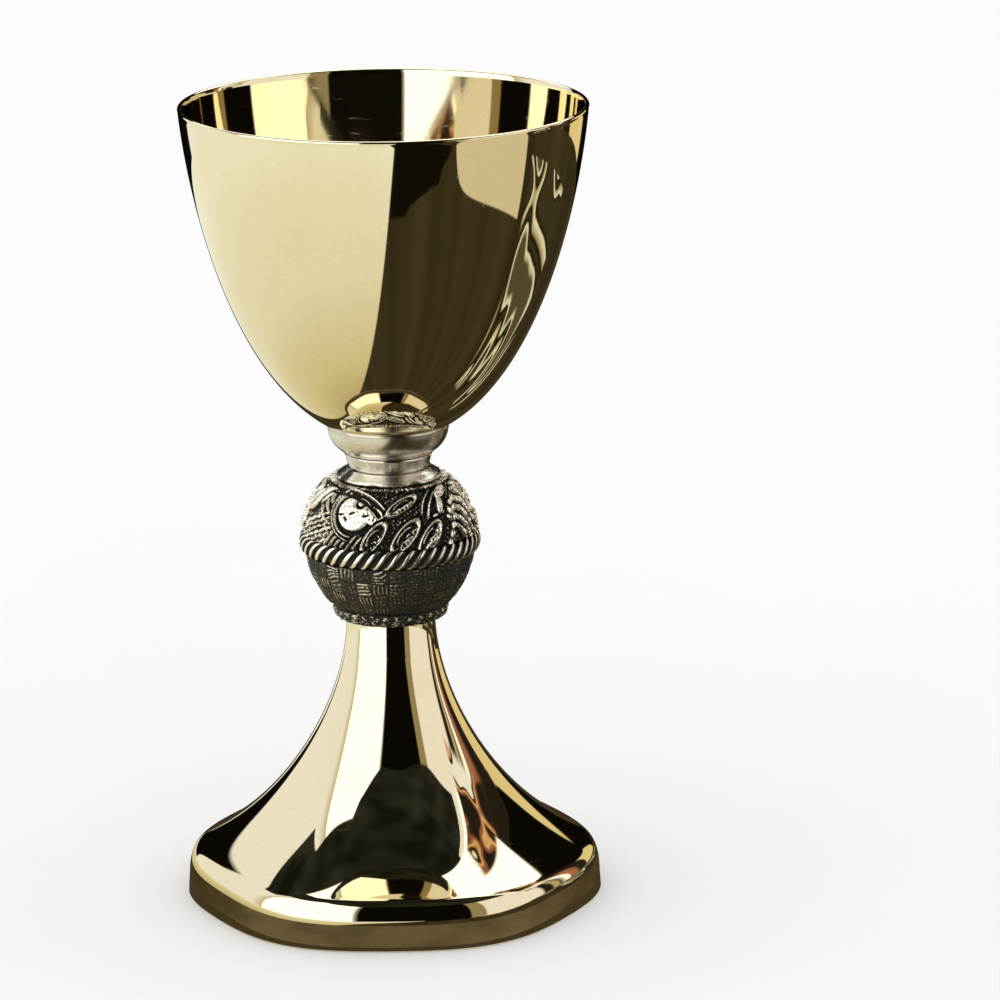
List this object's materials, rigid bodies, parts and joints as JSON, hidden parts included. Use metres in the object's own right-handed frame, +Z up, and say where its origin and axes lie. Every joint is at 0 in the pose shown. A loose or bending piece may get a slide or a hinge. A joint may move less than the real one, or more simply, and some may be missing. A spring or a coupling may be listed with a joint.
{
  "type": "communion chalice",
  "caption": "Footed communion cup: tall gold-plated bowl on a satin silver collar, an oxidised silver knop with a rope band, and a flared hexagonal foot.",
  "frame": {"origin": "on the chalice's axis, in the plane that the foot stands on", "axes": "+Z up along the axis towards the cup's mouth; +X through a corner of the hexagonal foot; -Y is the front, square to one of the foot's sides"},
  "size_m": [0.1152, 0.1112, 0.222],
  "materials": {
    "gold_plate": "mirror-polished pale gold plate over spun brass, with fine wiping scratches",
    "satin_silver": "satin silver plate, fine turning lines round the axis",
    "antique_silver": "cast relief, oxidised nearly black in the recesses and rubbed bright on the high points",
    "turned_brass": "plain turned brass",
    "plated_steel": "zinc-plated steel hardware"
  },
  "bodies": {
    "root": {"cup_bowl": "gold_plate", "cup_boss": "turned_brass", "seat_collar": "satin_silver", "neck_ring": "satin_silver", "knop_shoulder_ring": "antique_silver", "knop_upper_shell": "antique_silver", "knop_rope_band": "antique_silver", "knop_lower_shell": "antique_silver", "knop_base_braid": "antique_silver", "upper_centring_disc": "turned_brass", "spacer_tube": "turned_brass", "lower_centring_disc": "turned_brass", "foot_shell": "gold_plate", "foot_hem_ring": "gold_plate", "stem_bush": "turned_brass", "tie_rod": "plated_steel", "cup_washer": "plated_steel", "spring_washer": "plated_steel", "hex_nut": "plated_steel"}
  },
  "joints": []
}
